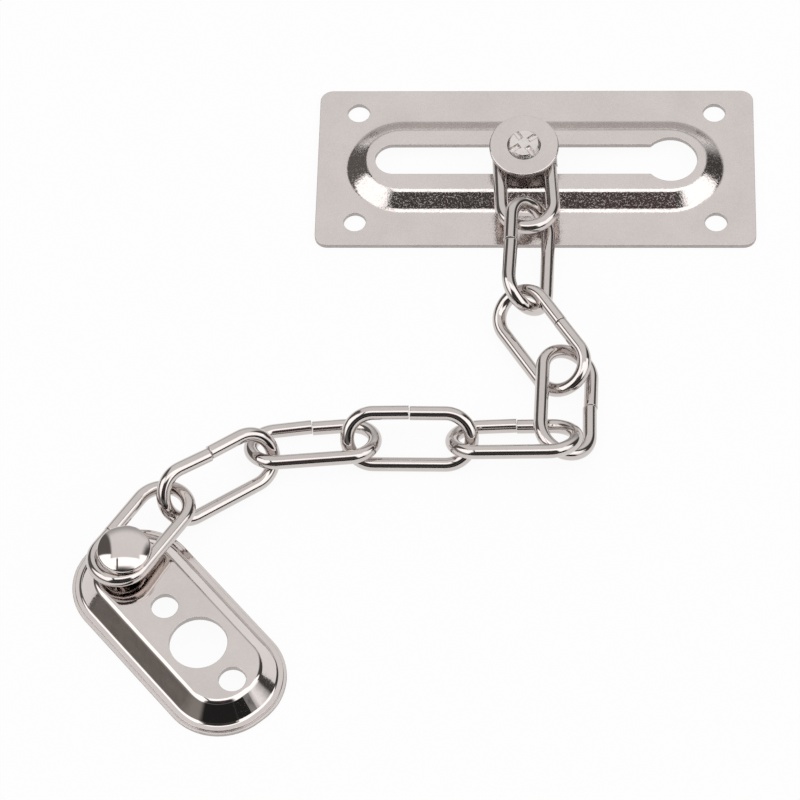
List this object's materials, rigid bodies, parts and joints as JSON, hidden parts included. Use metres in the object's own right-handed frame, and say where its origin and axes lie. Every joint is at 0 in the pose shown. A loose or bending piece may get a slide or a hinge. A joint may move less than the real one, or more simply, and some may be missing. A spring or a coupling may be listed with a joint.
{
  "type": "door_chain",
  "caption": "Bright nickel door chain: slotted slide plate with a captive stud, open wire links and a pressed anchor plate on a domed rivet",
  "frame": {"origin": "centre of the slide plate's four screw holes, on the plane of its back face", "axes": "+Z out of the slide plate's front, up from the table; +X along the slide plate towards the entry hole; +Y across the slide plate, away from the hanging chain"},
  "size_m": [0.134, 0.1515, 0.0131],
  "materials": {
    "plate_nickel": "bright nickel plate on pressed steel sheet",
    "rivet_nickel": "bright nickel plate on cold-headed steel",
    "washer_nickel": "dull barrel-plated nickel on a stamped steel washer",
    "wire_nickel": "bright nickel plate on bent steel wire"
  },
  "bodies": {
    "slide_plate": {"slide_plate": "plate_nickel"},
    "slide_stud": {"slide_rivet": "rivet_nickel", "slide_washer": "washer_nickel"},
    "link_1": {"link_1": "wire_nickel"},
    "link_2": {"link_2": "wire_nickel"},
    "link_3": {"link_3": "wire_nickel"},
    "link_4": {"link_4": "wire_nickel"},
    "link_5": {"link_5": "wire_nickel"},
    "link_6": {"link_6": "wire_nickel"},
    "link_7": {"link_7": "wire_nickel"},
    "link_8": {"link_8": "wire_nickel"},
    "link_9": {"link_9": "wire_nickel"},
    "anchor": {"anchor_plate": "plate_nickel", "anchor_rivet": "rivet_nickel"}
  },
  "joints": [
    {"name": "stud_slide", "type": "slide", "parent": "slide_plate", "child": "slide_stud", "axis": [1, 0, 0], "range_m": [-0.0267, 0.03]},
    {"name": "link_1_swing", "type": "hinge", "parent": "slide_stud", "child": "link_1", "pos_m": [-0.0023, -0.0003, 0.006], "axis": [0, 0, 1], "range_deg": [-45, 25]},
    {"name": "link_2_swing", "type": "hinge", "parent": "link_1", "child": "link_2", "pos_m": [-0.0012, -0.0142, 0.006], "axis": [0, 0, -1], "range_deg": [-30, 55]},
    {"name": "link_3_swing", "type": "hinge", "parent": "link_2", "child": "link_3", "pos_m": [-0.0007, -0.0379, 0.005], "axis": [0, 0, 1], "range_deg": [-45, 25]},
    {"name": "link_4_swing", "type": "hinge", "parent": "link_3", "child": "link_4", "pos_m": [0.0045, -0.0531, 0.0045], "axis": [0, 0, -1], "range_deg": [-35, 40]},
    {"name": "link_5_swing", "type": "hinge", "parent": "link_4", "child": "link_5", "pos_m": [0.0079, -0.0701, 0.0045], "axis": [0, 0, 1], "range_deg": [-20, 40]},
    {"name": "link_6_swing", "type": "hinge", "parent": "link_5", "child": "link_6", "pos_m": [-0.0129, -0.0701, 0.005], "axis": [0, 0, -1], "range_deg": [-40, 30]},
    {"name": "link_7_swing", "type": "hinge", "parent": "link_6", "child": "link_7", "pos_m": [-0.0347, -0.0696, 0.0045], "axis": [0, 0, 1], "range_deg": [-20, 60]},
    {"name": "link_8_swing", "type": "hinge", "parent": "link_7", "child": "link_8", "pos_m": [-0.0509, -0.0718, 0.0045], "axis": [0, 0, -1], "range_deg": [-25, 60]},
    {"name": "link_9_swing", "type": "hinge", "parent": "link_8", "child": "link_9", "pos_m": [-0.0709, -0.0843, 0.0065], "axis": [0, 0, 1], "range_deg": [-50, 40]},
    {"name": "anchor_swivel", "type": "hinge", "parent": "link_9", "child": "anchor", "pos_m": [-0.07816, -0.09752, 0.008], "axis": [0, 0, -1], "range_deg": [-45, 140]}
  ]
}
